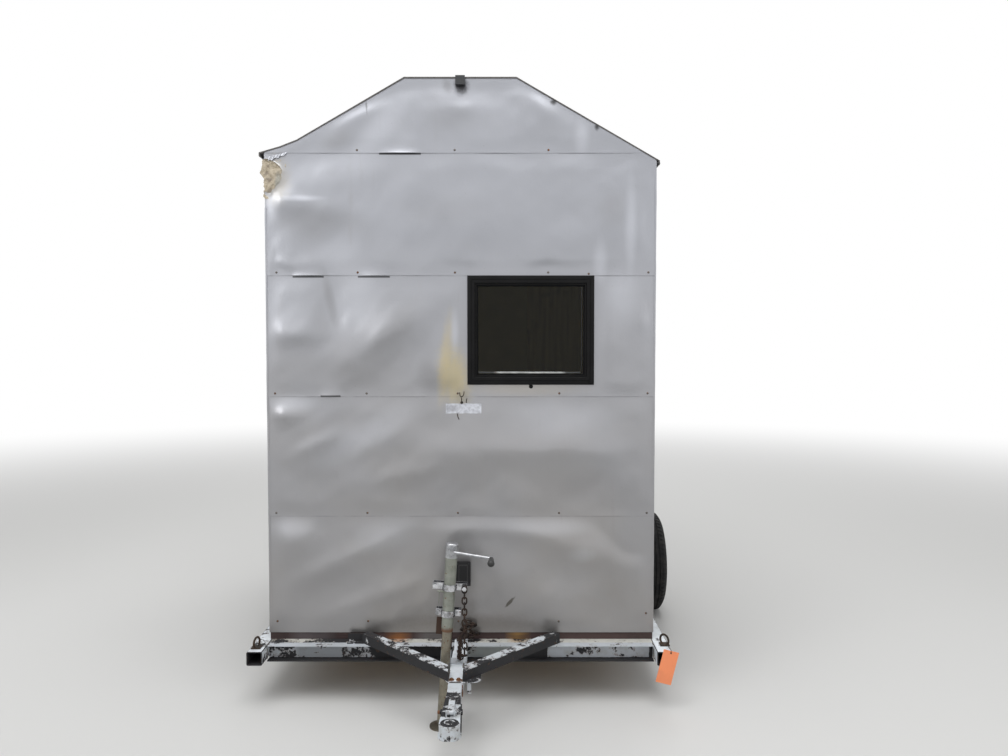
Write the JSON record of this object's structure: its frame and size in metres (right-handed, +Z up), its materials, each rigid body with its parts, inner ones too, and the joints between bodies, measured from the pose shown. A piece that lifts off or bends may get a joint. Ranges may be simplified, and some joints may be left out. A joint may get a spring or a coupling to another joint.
{
  "type": "ice fishing hut",
  "caption": "Towable cabin on two wheels with lapped metal siding, clipped gable roof, one front window and a crank jack.",
  "frame": {"origin": "on the ground under the middle of the whole outline, from coupler tip to rear rail ends and from tyre to tyre", "axes": "+Z up, -Y towards the tongue and the front wall with the window, +X to the right of someone facing the front wall"},
  "size_m": [2.38, 3.396, 2.914],
  "materials": {
    "white_paint": "chipped white paint over dark primer",
    "siding": "dull dented mill sheet",
    "roofing": "dark matte roofing",
    "panel_wood": "bare plywood",
    "door_wood": "plywood door under grey paint",
    "sill_wood": "weathered stained board",
    "cream_wood": "old cream paint on a board",
    "black_frame": "satin black",
    "glass": "clear, dusty",
    "tyre": "worn black rubber",
    "rim": "white paint with rust spots",
    "zinc": "dull zinc plate",
    "bright_zinc": "bright zinc plate",
    "rusty_steel": "rusty bare steel",
    "dark_steel": "dark oily steel",
    "black_plastic": "matte black",
    "orange_plastic": "bright orange"
  },
  "bodies": {
    "hut": {"front_sill": "sill_wood", "rear_sill": "sill_wood", "left_sill": "sill_wood", "right_sill": "sill_wood", "floor_deck": "panel_wood", "front_wall": "panel_wood", "rear_wall": "panel_wood", "left_wall": "panel_wood", "right_wall": "panel_wood", "roof_top_panel": "panel_wood", "roof_right_panel": "panel_wood", "roof_left_panel": "panel_wood", "roof_covering": "roofing", "front_siding": "siding", "rear_siding": "siding", "left_siding": "siding", "right_siding": "siding", "window_frame": "black_frame", "window_glass": "glass", "rear_door": "door_wood", "lower_hinge": "zinc", "upper_hinge": "zinc", "door_handle": "zinc", "right_rail": "white_paint", "left_rail": "white_paint", "front_crossbeam": "white_paint", "right_ledger": "cream_wood", "left_ledger": "cream_wood", "middle_cross_member": "white_paint", "rear_cross_member": "white_paint", "tongue": "white_paint", "right_brace": "white_paint", "left_brace": "white_paint", "coupler": "white_paint", "right_stub_axle": "white_paint", "left_stub_axle": "white_paint", "jack_tube": "zinc", "jack_head": "bright_zinc", "jack_post": "rusty_steel", "upper_jack_clamp": "bright_zinc", "lower_jack_clamp": "bright_zinc", "left_tie_ring": "dark_steel", "right_tie_ring": "dark_steel", "orange_tag": "orange_plastic", "safety_chain": "dark_steel", "junction_box": "black_plastic", "ridge_block": "black_frame"},
    "right_wheel": {"right_tyre": "tyre", "right_rim": "rim", "right_hub": "zinc"},
    "left_wheel": {"left_tyre": "tyre", "left_rim": "rim", "left_hub": "zinc"},
    "jack_ram": {"jack_ram": "zinc"},
    "jack_crank": {"jack_crank": "bright_zinc", "crank_grip": "black_plastic"},
    "coupler_latch": {"coupler_latch": "dark_steel"}
  },
  "joints": [
    {"name": "right_wheel_spin", "type": "hinge", "parent": "hut", "child": "right_wheel", "pos_m": [1.101, 0.489, 0.305], "axis": [1, 0, 0], "continuous": true},
    {"name": "left_wheel_spin", "type": "hinge", "parent": "hut", "child": "left_wheel", "pos_m": [-1.101, 0.489, 0.305], "axis": [1, 0, 0], "continuous": true},
    {"name": "jack_ram_slide", "type": "slide", "parent": "hut", "child": "jack_ram", "axis": [-0.061, 0, -0.9981], "range_m": [-0.19, 0.03]},
    {"name": "jack_crank_turn", "type": "hinge", "parent": "hut", "child": "jack_crank", "pos_m": [-0.02329, -1.13, 0.786], "axis": [0, -1, 0], "continuous": true},
    {"name": "coupler_latch_lift", "type": "hinge", "parent": "hut", "child": "coupler_latch", "pos_m": [0, -1.603, 0.2783], "axis": [1, 0, 0], "range_deg": [0, 80]}
  ],
  "couplings": [
    {"joint": "jack_crank_turn", "follows": "jack_ram_slide", "rad_per_m": 1256.6}
  ]
}
